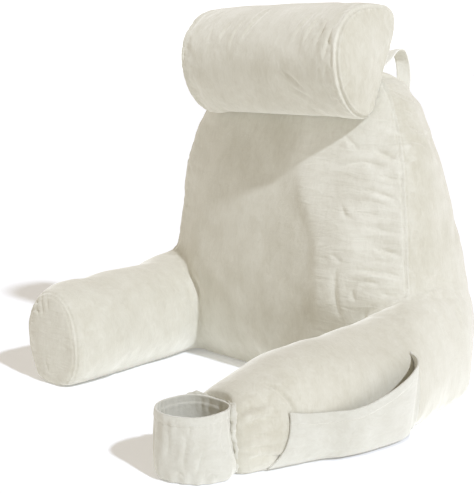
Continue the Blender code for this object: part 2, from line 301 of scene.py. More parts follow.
# in mm: place along the arm, centre, half width, crown, rise of the outer side
rightArmSections = np.array([
    [-536, 252, 56, 93, 18],
    [-524, 253, 66, 104, 20],
    [-502, 255, 73, 117, 24],
    [-475, 259, 77, 128, 26],
    [-440, 265, 81, 139, 24],
    [-370, 275, 88, 151, 18],
    [-260, 280, 91, 156, 14],
    [-190, 279, 89, 163, 16],
    [-120, 271, 83, 178, 24],
    [-50, 262, 80, 192, 26],
    [0, 251, 77, 197, 22],
    [30, 239, 71, 195, 14],
    [60, 222, 65, 184, 6],
    [85, 202, 54, 150, 0],
]) / 1000
leftArmSections = np.array([
    [-458, -229, 70, 164, 0],
    [-430, -231, 78, 172, 0],
    [-340, -238, 81, 178, 0],
    [-220, -252, 83, 182, 6],
    [-130, -260, 80, 188, 16],
    [-50, -260, 77, 194, 24],
    [0, -250, 76, 197, 22],
    [30, -239, 71, 195, 14],
    [60, -222, 65, 184, 6],
    [85, -202, 54, 150, 0],
]) / 1000
armForm = {"topPower": 2.1, "edge": 0.012}
# the right arm stands broad, the left one rounder
rightArmFoot = {"power": 8.0, "widestAt": 0.27, "flattening": 0.05}
leftArmFoot = {"power": 2.5, "widestAt": 0.44, "flattening": 0.035}


def roundedSquare(angle, power):
    # the point at this angle on |a|^n + |b|^n = 1, a circle for n = 2 and squarer as n grows
    a, b = np.cos(angle), np.sin(angle)
    reach = (np.abs(a) ** power + np.abs(b) ** power) ** (-1 / power)
    return a * reach, b * reach


def backrestPoint(angle, height):
    # level section: rounded square with one power in front and one behind, taper behind and a crown in front
    across, deep = roundedSquare(angle, np.where(np.sin(angle) < 0, backrestForm["frontPower"],
                                                 backrestForm["backPower"]))
    halfWidth, front, back, crown = (tableColumn(backrestSections, c, height) for c in (1, 2, 3, 4))
    x = halfWidth * across * (1 - backrestForm["backTaper"] * (deep + 1) / 2)
    y = (front + back) / 2 + (back - front) / 2 * deep
    y = y - crown * (1 - across ** 2) * (deep < 0) * np.abs(deep)
    return np.stack([x, y, height + 0 * x], axis=-1)


def armPoint(sections, angle, place, inset):
    # upright section: flat foot, round top, the side away from the sitter lifted by the rise
    foot = rightArmFoot if sections[0, 1] > 0 else leftArmFoot
    across, upright = roundedSquare(angle, np.where(np.sin(angle) < 0, foot["power"], armForm["topPower"]))
    centre, halfWidth, crown, rise = (tableColumn(sections, c, place) for c in (1, 2, 3, 4))
    halfWidth, crown = halfWidth - inset, crown - inset
    widest, flat = foot["widestAt"] * crown, foot["flattening"]
    below = np.maximum(widest * ((1 + upright) * (1 + flat) - flat), 0)
    above = widest + (crown - widest + rise * across * np.sign(centre)) * upright
    z = np.where(upright < 0, below, above)
    return np.stack([centre + halfWidth * across, place + 0 * across, z], axis=-1)


def backrestGrid(rings, around):
    climb = 0.5 - 0.5 * np.cos(np.linspace(0, np.pi, rings))
    angle = np.linspace(0, 2 * np.pi, around, endpoint=False)
    return backrestPoint(angle[None, :], (backrestSections[-1, 0] * climb)[:, None])


def armGrid(sections, rings, around):
    end = sections[0, 0]
    edge = np.linspace(0, 1, 7)
    inset = np.concatenate([armForm["edge"] * (1 - np.sqrt(1 - (1 - edge) ** 2)), np.zeros(rings)])
    place = np.concatenate([end + armForm["edge"] * edge,
                            np.linspace(end + 1.3 * armForm["edge"], sections[-1, 0], rings)])
    angle = np.linspace(0, 2 * np.pi, around, endpoint=False)
    return armPoint(sections, angle[None, :], place[:, None], inset[:, None])


def joinPieces(name, pieces, material):
    joined = bmesh.new()
    for piece in pieces:
        joined.from_mesh(piece.data)
        bpy.data.objects.remove(piece, do_unlink=True)
    mesh = bpy.data.meshes.new(name)
    joined.to_mesh(mesh)
    joined.free()
    return newPiece(name, mesh, material)


def remesh(piece, voxel, smoothing):
    cover = piece.modifiers.new("cover", "REMESH")
    cover.mode = "VOXEL"
    cover.voxel_size = voxel
    cover.use_smooth_shade = True
    soften = piece.modifiers.new("soften", "SMOOTH")
    soften.factor = 0.5
    soften.iterations = smoothing
    bakeModifiers(piece)


def unitRows(vectors):
    return vectors / np.maximum(np.linalg.norm(vectors, axis=-1, keepdims=True), 1e-9)


def alongLine(points, normals, line, reach):
    # for each point: place along the nearest stretch of a finely sampled line, and signed distance from it,
    # positive on the side that tangent x normal points to; points out of reach get a distance of 9 m
    steps = np.linalg.norm(np.diff(line, axis=0), axis=1)
    travelled = np.concatenate([[0], np.cumsum(steps)])
    tangents = unitRows(np.gradient(line, axis=0))
    coarse = line[::8]
    slack = reach + 5 * steps.max()
    box = np.flatnonzero(np.all((points > line.min(0) - reach) & (points < line.max(0) + reach), axis=1))
    near = [block[((points[block, None] - coarse[None]) ** 2).sum(-1).min(axis=1) < slack ** 2]
            for block in np.array_split(box, len(box) // 4000 + 1) if len(block)]
    near = np.concatenate(near) if near else box
    place = np.zeros(len(points))
    side = np.full(len(points), 9.0)
    for block in np.array_split(near, len(near) // 2000 + 1):
        if not len(block):
            continue
        gap = ((points[block, None] - line[None]) ** 2).sum(-1)
        closest = gap.argmin(axis=1)
        offset = points[block] - line[closest]
        tangent = tangents[closest]
        along = (offset * tangent).sum(-1)
        inner = (closest > 0) & (closest < len(line) - 1)
        across = offset - tangent * (along * inner)[:, None]
        sign = np.where((across * np.cross(tangent, normals[block])).sum(-1) < 0, -1, 1)
        side[block] = sign * np.linalg.norm(across, axis=1)
        place[block] = travelled[closest] + along
    return place, side, travelled[-1]


def creaseShape(off, width, side, ridge):
    # across a fold: a narrow V-shaped valley, softened at its bottom, with a wider round ridge on one side
    # and a low one on the other
    valley = -np.exp(-(np.sqrt(off ** 2 + (0.18 * width) ** 2) - 0.18 * width) / (0.9 * width))
    return (valley + ridge * bell(off - side * 2.2 * width, 1.6 * width)
            + 0.3 * ridge * bell(off + side * 2.4 * width, 1.6 * width))


def seamGroove(points, normals, line, depth, width, ridge=0.0, ridgeAt=0.0):
    # closed seam: the cover is drawn in along the line, and the turned-in edge makes a low ridge beside it
    place, side, length = alongLine(points, normals, line, 5 * width + abs(ridgeAt) * 2)
    height = -depth * bell(side, width)
    if ridge:
        height = height + ridge * bell(side - ridgeAt, 0.45 * abs(ridgeAt))
    return height


def seamWelt(points, normals, line, height, width):
    # sewn edge that stands up as a thin irregular welt, with the cover drawn in on both sides of it
    place, side, length = alongLine(points, normals, line, 7 * width)
    uneven = 1 + 0.35 * np.sin(place / 0.011 + 2 * np.sin(place / 0.037))
    return height * (uneven * bell(side, width) - 0.5 * bell(np.abs(side) - 2.6 * width, 1.2 * width))


def seamPuckers(points, normals, line, count, reach, depth, width, seed):
    # little folds that start at a seam and run out across the panel, straight or slightly bent, deepest near
    # the seam and gone at their own length
    rng = np.random.default_rng(seed)
    place, side, length = alongLine(points, normals, line, reach * 1.1)
    height = np.zeros(len(points))
    near = np.abs(side) < reach * 1.1
    p, d = place[near], side[near]
    for _ in range(count):
        start = length * rng.uniform(0.0, 1.0)
        facing = rng.choice((-1, 1))
        long = reach * rng.uniform(0.35, 1.0) ** 1.3
        deep = depth * rng.uniform(0.3, 1.0)
        wide = width * rng.uniform(0.7, 1.3)
        lean = rng.uniform(-0.6, 0.6)
        bend = rng.uniform(-5, 5)
        out = d * facing
        off = p - start - lean * out - bend * out ** 2
        fade = rampUp(out, 0, 0.12 * long) * np.clip(1 - out / long, 0, 1) ** 1.2 * (out > 0)
        height[near] += deep * fade * creaseShape(off, wide, 1 if lean > 0 else -1, 0.55)
    return height


def placedFold(points, normals, line, depth, width, side=1):
    # one fold laid along a given line: valley along the line with a ridge beside it, dying out over a third at
    # both ends
    place, off, length = alongLine(points, normals, line, 7 * width)
    ends = rampUp(np.minimum(place, length - place), 0, 0.35 * length)
    return depth * ends * ends * (3 - 2 * ends) * creaseShape(off, 0.85 * width, side, 0.6)


def refineNear(piece, lines, reach):
    # the faces near the given lines are split in four, so that narrow folds keep their shape
    mesh = piece.data
    centres = readRows(mesh.polygons, "center")
    close = np.zeros(len(centres), bool)
    for line in lines:
        spots = line[::4]
        boxed = (centres > line.min(0) - reach) & (centres < line.max(0) + reach)
        box = np.flatnonzero(boxed.all(axis=1))
        for block in np.array_split(box, len(box) // 8000 + 1):
            close[block] |= ((centres[block, None] - spots[None]) ** 2).sum(-1).min(axis=1) < reach ** 2
    work = bmesh.new()
    work.from_mesh(mesh)
    work.faces.ensure_lookup_table()
    edges = {edge for index in np.flatnonzero(close) for edge in work.faces[index].edges}
    bmesh.ops.subdivide_edges(work, edges=list(edges), cuts=1, use_grid_fill=True, smooth=1.0)
    work.to_mesh(mesh)
    work.free()
    shadeSmooth(mesh)
    mesh.update()


def lumps(points, size, height, seed, waves=18):
    # foam filling: a sum of sine waves in random directions, wavelengths spread about the given size
    rng = np.random.default_rng(seed)
    aim = unitRows(rng.normal(size=(waves, 3))) * (2 * np.pi / size) * rng.uniform(0.6, 1.6, (waves, 1))
    phase = rng.uniform(0, 2 * np.pi, waves)
    return height * np.sin(points @ aim.T + phase).sum(axis=1) / math.sqrt(waves / 2)


def ontoSurface(piece, places, axis):
    # a line given in two coordinates is dropped onto the piece along the third
    tree = BVHTree.FromObject(piece, bpy.context.evaluated_depsgraph_get())
    length = np.linalg.norm(np.diff(places, axis=0), axis=1).sum()
    line = splineThrough(places, max(8, int(length / 0.003)))
    starts = {"front": lambda a, b: ((a, -1, b), (0, 1, 0)), "back": lambda a, b: ((a, 1, b), (0, -1, 0)),
              "right": lambda a, b: ((1, a, b), (-1, 0, 0))}[axis]
    hits = [tree.ray_cast(*map(Vector, starts(a, b)))[0] for a, b in line]
    return np.array([h for h in hits if h is not None])


def foldLines(piece, folds):
    # for each listed fold: its line on the piece, its depth and width, and the side of its ridge
    return [(ontoSurface(piece, np.reshape(places, (-1, 2)) / 1000, side), depth * mm, width * mm, turned)
            for side, rows in folds for depth, width, turned, *places in rows]


def simulate(piece, look, pinned, spare):
    # pressed from inside like a stuffed cover; the cloth is a little longer than its seams and puckers there
    frozen = piece.vertex_groups.new(name="sewn")
    frozen.add([int(i) for i in np.flatnonzero(pinned)], 1.0, "REPLACE")
    cloth = piece.modifiers.new("stuffed", "CLOTH")
    settings = cloth.settings
    settings.quality = look["quality"]
    settings.mass = look["mass"]
    settings.tension_stiffness = settings.compression_stiffness = look["stiffness"]
    settings.shear_stiffness = look["stiffness"] * 0.5
    settings.bending_stiffness = look["bending"]
    settings.tension_damping = settings.compression_damping = settings.shear_damping = look["damping"]
    settings.air_damping = look["airDamping"]
    settings.use_pressure = True
    settings.uniform_pressure_force = look["pressure"]
    settings.effector_weights.gravity = 0
    slack = piece.vertex_groups.new(name="slack")
    for share in np.array_split(np.argsort(spare), look["bands"]):  # from the least spare cloth to the most
        slack.add([int(i) for i in share], float(spare[share].mean()), "REPLACE")
    settings.vertex_group_shrink = "slack"
    settings.shrink_min = -look["spareFar"]
    settings.shrink_max = -look["spareNear"]
    settings.vertex_group_mass = "sewn"
    settings.pin_stiffness = 1.0
    cloth.collision_settings.use_collision = False
    cloth.point_cache.frame_start = 1
    cloth.point_cache.frame_end = look["frames"]
    before = readSurface(piece)[0]
    for moment in range(1, look["frames"] + 1):
        scene.frame_set(moment)
    bakeModifiers(piece)
    scene.frame_set(1)
    piece.vertex_groups.clear()
    moved = readSurface(piece)[0] - before
    far = np.linalg.norm(moved, axis=1, keepdims=True)
    capped = look["cap"] * np.tanh(far / look["cap"])
    writePoints(piece, before + moved * capped / np.maximum(far, 1e-9))
    print("  moved up to", round(float(far.max()) * 1000, 1), "mm, capped at", look["cap"] * 1000)


def stuffCover(piece, look, seams):
    # the points near a seam stay where they are, and the spare cloth falls off with the distance from it
    points, normals = readSurface(piece)
    pinned = points[:, 2] < look["floorGrip"]
    spare = np.zeros(len(points))
    for seam in seams:
        away = np.abs(alongLine(points, normals, seam, look["seamReach"])[1])
        pinned |= away < look["grip"] * look["voxel"]
        spare = np.maximum(spare, np.exp(-away / look["spareFall"]))
    simulate(piece, look, pinned, spare)
    finer = piece.modifiers.new("finer", "SUBSURF")
    finer.levels = finer.render_levels = 1
    bakeModifiers(piece)


clothSim = {
    "frames": 20, "quality": 4, "stiffness": 15.0, "mass": 0.3, "damping": 10, "airDamping": 3, "bands": 12,
}
bodySim = dict(clothSim, voxel=8.0 * mm, softening=5, pressure=4.0, spareFar=0.006, spareNear=0.045,
               spareFall=0.045, cap=10 * mm, bending=0.4, grip=0.75, seamReach=0.12, floorGrip=4 * mm)

pillowBody = joinPieces("pillowBody", [
    skinGrid("backrestForm", backrestGrid(120, 240), plush),
    skinGrid("rightArmForm", armGrid(rightArmSections, 90, 120), plush),
    skinGrid("leftArmForm", armGrid(leftArmSections, 90, 120), plush),
], plush)
remesh(pillowBody, bodySim["voxel"], bodySim["softening"])
print("body covered:", len(pillowBody.data.vertices), "points")

# seams: the front panel and the back panel meet the side band at the two corners of each level section
cornerAngle = {"front": -43, "back": 47}


def bandSeam(which, lowest):
    angle = math.radians(cornerAngle[which])
    height = np.linspace(lowest, 0.5545, 160)
    right = backrestPoint(np.full(160, angle), height)
    return splineThrough(np.vstack([right, right[::-1] * (-1, 1, 1)])[::4], 900)


def armRoot(sections, mirror):
    # where the arm's surface enters the front of the backrest, from the inner foot up over the top
    start, stop = (205, 60) if mirror > 0 else (-25, 120)
    angle = np.linspace(math.radians(start), math.radians(stop), 60)
    place = np.linspace(-0.24, 0.0, 240)
    grid = armPoint(sections, angle[:, None], place[None, :], 0.0)
    height = np.clip(grid[..., 2], 0, 0.55)
    halfWidth, front, back, crown = (tableColumn(backrestSections, c, height) for c in (1, 2, 3, 4))
    across = np.clip(np.abs(grid[..., 0]) / halfWidth, 0, 1.2)
    power = backrestForm["frontPower"]
    face = (front + back) / 2 - (back - front) / 2 * np.clip(1 - across ** power, 0, 1) ** (1 / power)
    face = face - crown * (1 - np.clip(across, 0, 1) ** 2)
    inside = (grid[..., 1] > face) & (across < 0.985)
    first = inside.argmax(axis=1)
    reached = inside.any(axis=1)
    return splineThrough(grid[np.arange(60), first][reached][::3], 160)


frontSeam = bandSeam("front", 0.185)
backSeam = bandSeam("back", 0.004)
rightRoot = armRoot(rightArmSections, 1)
leftRoot = armRoot(leftArmSections, -1)


def armEndSeam(sections):
    angle = np.linspace(0, 2 * np.pi, 220)
    inset = armForm["edge"] * 0.30
    return armPoint(sections, angle, np.full(220, sections[0, 0] + inset), np.full(220, inset))


rightEnd, leftEnd = armEndSeam(rightArmSections), armEndSeam(leftArmSections)
stuffCover(pillowBody, bodySim, (frontSeam, rightRoot, leftRoot, rightEnd, leftEnd))
print("body stuffed:", len(pillowBody.data.polygons), "faces")


cupSeat = {
    "centre": (0.252, -0.567), "radius": 51 * mm, "wider": 1.04, "power": 2.8, "sharpness": 20, "reach": 0.08,
}
bodyFolds = {
    "grooveDepth": 1.1 * mm, "grooveWidth": 2.0 * mm, "ridge": 0.8 * mm, "ridgeAt": 5 * mm,
    "welt": 2.0 * mm, "weltWidth": 1.6 * mm,
    "puckerDepth": 1.7 * mm, "puckerWidth": 4.0 * mm, "puckerReach": 75 * mm, "fineReach": 30 * mm,
    "lumpSize": 130 * mm, "lumpHeight": 1.4 * mm, "smallLumpSize": 50 * mm, "smallLumpHeight": 0.25 * mm,
}
# folds listed one by one, in mm: depth, width, side of the ridge, then places along the fold, seen from that
# side
handFolds = [
    ("front", [
        (1.6, 4.5, 1, 134, 441, 158, 425, 178, 412), (3.4, 5.0, 1, 196, 416, 222, 407, 243, 399),
        (2.4, 4.5, -1, 136, 382, 160, 392, 184, 396, 224, 388),
        (2.2, 4.5, 1, 212, 376, 232, 372, 252, 370), (3.0, 4.5, 1, 178, 343, 200, 350, 222, 346, 254, 335),
        (2.0, 5.0, -1, 156, 330, 160, 318, 170, 306, 190, 300),
        (2.0, 6.0, 1, 190, 294, 232, 287, 266, 284), (2.4, 4.5, 1, 214, 258, 240, 254, 272, 246),
        (3.2, 4.5, 1, 180, 218, 206, 220, 240, 220, 276, 213),
        (2.4, 4.5, -1, 200, 196, 220, 202, 242, 201), (2.0, 4.5, 1, 194, 190, 198, 178, 204, 166),
        (2.0, 4.5, 1, 236, 186, 254, 184, 272, 184), (1.8, 5.0, 1, 148, 242, 162, 236, 174, 228),
        (2.4, 6.0, -1, 164, 232, 163, 200, 168, 165, 178, 130),
    ]),
    ("right", [
        (2.4, 4.5, 1, -100, 219, -66, 212, -36, 203),
        (2.6, 5.0, -1, -106, 208, -70, 204, -20, 196, 20, 190),
        (2.0, 4.5, 1, -92, 197, -64, 195, -44, 192), (1.6, 6.0, 1, -104, 184, -60, 178, 4, 170),
        (2.4, 4.5, 1, -60, 512, -44, 500, -20, 490), (2.2, 4.5, -1, -66, 490, -44, 478, -22, 472),
        (2.4, 4.5, 1, -70, 462, -50, 452, -20, 440, 10, 434), (1.8, 4.0, 1, -74, 436, -50, 428, -30, 424),
        (3.4, 5.0, 1, -530, 86, -508, 94, -480, 96), (4.2, 5.0, -1, -530, 70, -506, 78, -474, 80),
        (3.2, 4.5, 1, -530, 54, -508, 58, -490, 57), (4.4, 5.0, 1, -530, 40, -506, 40, -470, 34),
        (4.0, 5.0, -1, -530, 22, -504, 27, -462, 18),
        (3.0, 3.5, 1, -450, 70, -454, 88, -462, 106, -476, 120, -488, 124),
    ]),
    ("back", [
        (2.2, 2.2, 1, -215, 62, -100, 58, 100, 58, 215, 62),
        (2.4, 7.0, 1, -240, 120, -190, 112, -150, 116), (2.6, 7.0, -1, 250, 140, 205, 126, 150, 122),
        (2.6, 7.0, 1, 150, 480, 130, 440, 126, 400), (2.4, 7.0, -1, -150, 480, -136, 446, -110, 410),
        (1.6, 6.0, 1, -30, 100, 10, 108, 60, 98),
    ]),
    ("front", [  # pleats on the end panel of the left arm, fanning from its upper outer corner
        (1.8, 3.2, 1, -286, 120, -270, 128, -250, 126), (1.8, 3.0, 1, -284, 134, -268, 142, -250, 144),
        (1.8, 3.0, 1, -272, 150, -262, 132, -258, 112), (1.5, 3.0, 1, -256, 158, -248, 138, -244, 112),
        (1.2, 3.0, 1, -238, 162, -234, 146, -232, 126), (1.4, 3.0, 1, -292, 100, -280, 106, -268, 104),
        (1.2, 3.0, 1, -230, 20, -234, 36, -240, 50),
    ]),
]
frontSlack = {
    "line": np.array([  # height and place across, in mm
        [60, 130], [120, 124], [200, 117], [250, 110], [284, 98], [316, 80], [350, 60], [400, 40],
    ]) / 1000,
    "rise": 6.5 * mm, "turn": 12 * mm, "fall": 130 * mm,
}


def pastSlackLine(x, z):  # how far right of the line where the slack begins
    return x - np.interp(z, *frontSlack["line"].T)


def slackStep(points, normals):
    # the front cover is slack: right of a line that wanders upwards it stands proud, a step that tanh rounds
    # off, sinking back to nothing towards the right seam and at both ends of the line
    x, y, z = points.T
    off = pastSlackLine(x, z)
    ends = rampUp(z, 0.07, 0.12) * rampUp(-z, -0.42, 0.14)
    ends = ends * ends * (3 - 2 * ends)
    front = rampUp(-normals[:, 1], 0.3, 0.4) * (y > -0.175)
    raised = (np.tanh(off / frontSlack["turn"]) + 1) / 2 * np.clip(1 - off / frontSlack["fall"], 0, 1) ** 0.8
    return frontSlack["rise"] * raised * ends * front


def keepNumber(piece, name, values):  # one number on each point, read by the material
    attribute = piece.data.attributes.new(name, "FLOAT", "POINT")
    attribute.data.foreach_set("value", values)


# painted light and shade: how much lighter or darker each panel is made
napPaintedLightForm = {"front": 1.2, "frontLeft": -0.35, "band": -1.0, "rightArm": -0.65, "leftEnd": -0.5,
           "turn": 14 * mm, "wander": 12 * mm, "wanderSize": 50 * mm}


def addNapPaintedLight(piece):
    # how the pile of each panel lies together with painted light and shade, as a number on each point: painted
    # light on the front panel right of the slack line, where the sun falls, painted shade left of it, and darker
    # also on the sunlit right side band between its two seams, on the right arm and on the left arm's end panel,
    # 0 elsewhere
    points, normals = readSurface(piece)
    x, y, z = points.T
    sideways, backwards = normals[:, 0], normals[:, 1]
    wander = lumps(points, napPaintedLightForm["wanderSize"], napPaintedLightForm["wander"], seed=41, waves=9)
    right = (np.tanh((pastSlackLine(x, z) + 0.4 * wander) / napPaintedLightForm["turn"]) + 1) / 2
    front = rampUp(-backwards, 0.35, 0.3) * (y > -0.18) * rampUp(z, 0.05, 0.1)
    band = rampUp(sideways, 0.55, 0.25) * rampUp(z, 0.16, 0.08)
    arm = rampUp(-y, 0.13, 0.06) * (x > 0)
    leftEnd = rampUp(-backwards, 0.6, 0.2) * (y < -0.4) * (x < 0)
    keepNumber(piece, "napPaintedLight", (napPaintedLightForm["front"] * right + napPaintedLightForm["frontLeft"] * (1 - right)) * front
               + napPaintedLightForm["band"] * band + napPaintedLightForm["rightArm"] * arm + napPaintedLightForm["leftEnd"] * leftEnd)
    # looseness: the front right of the slack line, the band's shoulder, both arm ends, low on the back
    shoulder = rampUp(sideways, 0.3, 0.3) * rampUp(z, 0.36, 0.1)
    ends = rampUp(-y, 0.41, 0.05)
    slackFront = right * front * rampUp(-z, -0.50, 0.06)
    low = rampUp(-z, -0.17, 0.08) * rampUp(backwards, 0.3, 0.3)
    loose = 0.15 + 0.85 * slackFront + 0.6 * shoulder + 0.7 * ends + 0.45 * low
    # the looseness also sets where the painted crease shade goes
    keepNumber(piece, "wrinkled", np.clip(loose, 0, 1))


def shapeBody():
    look = bodyFolds
    folds = foldLines(pillowBody, handFolds)
    lines = [frontSeam, rightRoot, rightEnd, leftEnd] + [fold[0] for fold in folds]
    refineNear(pillowBody, lines, look["fineReach"])
    points, normals = readSurface(pillowBody)
    height = lumps(points, look["lumpSize"], look["lumpHeight"], seed=3)
    height += lumps(points, look["smallLumpSize"], look["smallLumpHeight"], seed=9)
    for seam in (frontSeam, backSeam, rightRoot, leftRoot):
        height += seamGroove(points, normals, seam, look["grooveDepth"], look["grooveWidth"],
                             look["ridge"], look["ridgeAt"])
    height += seamWelt(points, normals, leftEnd, look["welt"], look["weltWidth"])
    sets = [(frontSeam, 70, 1.0, 1.0, 11), (backSeam, 60, 0.8, 0.8, 12), (rightRoot, 9, 0.6, 0.9, 13),
            (leftRoot, 9, 0.6, 0.9, 14), (rightEnd, 44, 0.55, 0.8, 15), (leftEnd, 44, 0.55, 0.8, 16)]
    for seam, count, reach, depth, seed in sets:
        height += seamPuckers(points, normals, seam, count, reach * look["puckerReach"],
                              depth * look["puckerDepth"], look["puckerWidth"], seed)
    for line, depth, width, turned in folds:
        height += placedFold(points, normals, line, depth, width, turned)
    height += slackStep(points, normals)
    leftShoulder = ((points - (-0.255, -0.04, 0.415)) / (0.07, 0.16, 0.10)) ** 2
    height += 11 * mm * np.exp(-leftShoulder.sum(axis=1))  # the filling sits fuller at the left shoulder
    footing = rampUp(points[:, 2], 0, 18 * mm)  # nothing moves where it rests on the floor
    points = points + normals * (height * footing)[:, None]
    points[:, 2] = np.maximum(points[:, 2], 0)
    # the cup holder hollows the end of the right arm: no distance from its axis stays under the seat's radius
    away = points[:, :2] - cupSeat["centre"]
    gap = ((np.abs(away) / (cupSeat["wider"], 1.0)) ** cupSeat["power"]).sum(axis=1, keepdims=True)
    gap = gap ** (1 / cupSeat["power"])
    sharp = cupSeat["sharpness"]
    kept = (gap ** sharp + cupSeat["radius"] ** sharp) ** (1 / sharp)
    hollowed = (gap < cupSeat["reach"]) & (points[:, 1:2] > -0.56)
    points[:, :2] = np.where(hollowed, cupSeat["centre"] + away * kept / gap, points[:, :2])
    writePoints(pillowBody, points)
    addNapPaintedLight(pillowBody)


shapeBody()
print("body folded:", len(pillowBody.data.polygons), "faces")


# the roll's section, y and z in mm, as in the solids
rollSection = np.array([
    [-189, 566], [-181, 606], [-153, 638], [-112, 650], [-68, 652], [-40, 645],
    [-34, 628], [-40, 600], [-58, 552], [-76, 500], [-94, 470], [-122, 466], [-154, 484],
    [-179, 520],
]) / 1000
rollForm = {"halfLength": 0.185, "edge": 14 * mm, "dome": 6 * mm}
rollSim = dict(clothSim, voxel=5.5 * mm, softening=1, pressure=3.0, spareFar=0.01, spareNear=0.06,
               spareFall=0.04, cap=5 * mm, bending=0.2, grip=0.8, seamReach=0.10, floorGrip=0)


def rollRing(around):
    return splineThrough(rollSection, around, closed=True)


def rollGrid(columns, around):
    # along the length: end panel domed from its middle, quarter-round edge, then the nearly even tube
    ring = rollRing(around)
    middle = ring.mean(axis=0)
    half, edge, dome = rollForm["halfLength"], rollForm["edge"], rollForm["dome"]
    turn = np.linspace(0, np.pi / 2, 8)
    share = np.array([0.02, 0.25, 0.5, 0.75, 0.9])
    radius = np.linalg.norm(ring - middle, axis=1).mean()
    endScale = 1 - edge / radius
    scale = np.concatenate([share * endScale, 1 - (edge / radius) * (1 - np.sin(turn))])
    x = np.concatenate([half + dome * (1 - share ** 2), half - edge * (1 - np.cos(turn))])
    flank = np.linspace(half - edge, 0, columns // 2 + 1)[1:]
    scale = np.concatenate([scale, 1 + 0.012 * np.sin(np.pi * (1 - flank / (half - edge)) / 2)])
    x = np.concatenate([x, flank])
    x, scale = np.concatenate([-x, x[::-1][1:]]), np.concatenate([scale, scale[::-1][1:]])
    flat = middle + (ring - middle)[None] * scale[:, None, None]
    return np.concatenate([np.broadcast_to(x[:, None, None], flat.shape[:2] + (1,)), flat], axis=-1)


neckRoll = skinGrid("neckRoll", rollGrid(70, 150), rollPlush)
remesh(neckRoll, rollSim["voxel"], rollSim["softening"])


def rollSeam(sign):
    ring = rollRing(420)
    middle = ring.mean(axis=0)
    place = sign * (rollForm["halfLength"] - 0.3 * rollForm["edge"])
    flat = middle + (ring - middle) * (1 - 0.3 * rollForm["edge"] / 0.085)
    return np.column_stack([np.full(420, place), flat])


rollSeams = [rollSeam(1), rollSeam(-1)]
stuffCover(neckRoll, rollSim, rollSeams)

# written like the folds of the body
rollFolds = [("front", [
    (2.6, 3.5, 1, -4, 652, -14, 630, -26, 604, -34, 584), (2.2, 3.5, 1, -40, 636, -50, 610, -56, 578),
    (1.8, 3.5, 1, -70, 630, -78, 610, -82, 586), (1.2, 3.5, 1, -104, 622, -110, 604, -114, 586),
    (2.4, 3.5, 1, 108, 642, 98, 616, 86, 584), (2.6, 3.5, 1, 130, 638, 122, 612, 112, 582),
    (2.4, 3.5, 1, 150, 636, 146, 610, 138, 578), (1.8, 3.5, 1, 166, 622, 164, 590, 158, 556),
    (2.0, 4.0, 1, 64, 550, 90, 532, 116, 506), (1.8, 4.0, 1, 80, 520, 100, 508, 122, 494),
])]


def shapeRoll():
    folds = foldLines(neckRoll, rollFolds)
    refineNear(neckRoll, rollSeams + [fold[0] for fold in folds], 14 * mm)
    points, normals = readSurface(neckRoll)
    height = lumps(points, 0.10, 0.7 * mm, seed=21) + lumps(points, 0.04, 0.15 * mm, seed=22)
    for number, seam in enumerate(rollSeams):
        height += seamGroove(points, normals, seam, 1.5 * mm, 2.2 * mm)
        place, side, length = alongLine(points, normals, seam, 0.03)
        height += 1.3 * mm * bell(np.abs(side) - 4.5 * mm, 2.0 * mm)
        height += seamPuckers(points, normals, seam, 44, 60 * mm, 1.4 * mm, 3.2 * mm, 31 + number)
    for line, depth, width, turned in folds:
        height += placedFold(points, normals, line, depth, width, turned)
    writePoints(neckRoll, points + normals * height[:, None])
    out = np.abs(points[:, 0])
    # painted shade: the roll's end panels are made darker
    keepNumber(neckRoll, "napPaintedLight", -1.1 * rampUp(np.abs(normals[:, 0]), 0.75, 0.15) * (out > 0.16))
    keepNumber(neckRoll, "wrinkled", 0.35 + 0.35 * rampUp(out, 0.08, 0.06))


shapeRoll()
keepOutside(neckRoll, pillowBody, 0.8 * mm)
bakeModifiers(neckRoll)
print("neck roll:", len(neckRoll.data.polygons), "faces")


def stitchRow(name, line, outward, look):
    # one spindle for each stitch, evenly spaced along the line: five rings of six points, thin at both ends,
    # where the thread goes into the cloth
    steps = np.concatenate([[0], np.cumsum(np.linalg.norm(np.diff(line, axis=0), axis=1))])
    at = np.arange(look["pitch"], steps[-1] - look["pitch"], look["pitch"])
    centre, out = (np.column_stack([np.interp(at, steps, axis) for axis in rows.T]) for rows in (line, outward))
    along = unitRows(np.column_stack([np.interp(at + 1 * mm, steps, axis) for axis in line.T]) - centre)
    out = unitRows(out - along * (out * along).sum(-1, keepdims=True))
    across = np.cross(along, out)
    station = np.array([-0.5, -0.36, 0.0, 0.36, 0.5])
    thick = look["thick"] / 2 * np.array([0.3, 0.9, 1.0, 0.9, 0.3])
    sink = look["thick"] * np.array([-0.5, 0.1, 0.35, 0.1, -0.5])
    angle = np.linspace(0, 2 * np.pi, 6, endpoint=False)
    core = centre[:, None] + along[:, None] * (station * look["long"])[None, :, None]
    core = core + out[:, None] * sink[None, :, None]
    turn = (np.cos(angle)[None, None, :, None] * across[:, None, None]
            + np.sin(angle)[None, None, :, None] * out[:, None, None])
    points = core[:, :, None] + thick[None, :, None, None] * turn
    index = np.arange(len(at) * 30).reshape(len(at), 5, 6)
    beside = np.roll(index, -1, axis=2)
    sides = np.stack([index[:, :-1], beside[:, :-1], beside[:, 1:], index[:, 1:]], axis=-1).reshape(-1, 4)
    ends = np.concatenate([index[:, 0, ::-1], index[:, -1]])
    mesh = bpy.data.meshes.new(name)
    mesh.from_pydata(points.reshape(-1, 3).tolist(), [], sides.tolist() + ends.tolist())
    faceOutwards(mesh)
    return newPiece(name, mesh, thread)


stitchLook = {"pitch": 4.4 * mm, "long": 3.2 * mm, "thick": 0.8 * mm}  # a little thicker than real thread


# in mm: place along the arm, height of the lip, how far the lip stands off the arm
pocketEdge = np.array([
    [-462, 82, 2], [-420, 75, 6], [-375, 75, 12], [-320, 86, 21],
    [-250, 110, 28], [-225, 119, 22], [-208, 124, 3],
]) / 1000
pocketForm = {"thickness": 2.2 * mm, "clearance": 1.4 * mm, "foot": 5 * mm, "frontFoot": -0.492,
              "hem": 15 * mm, "hemLift": 0.7 * mm, "footIn": 12 * mm, "hemShare": 0.675}


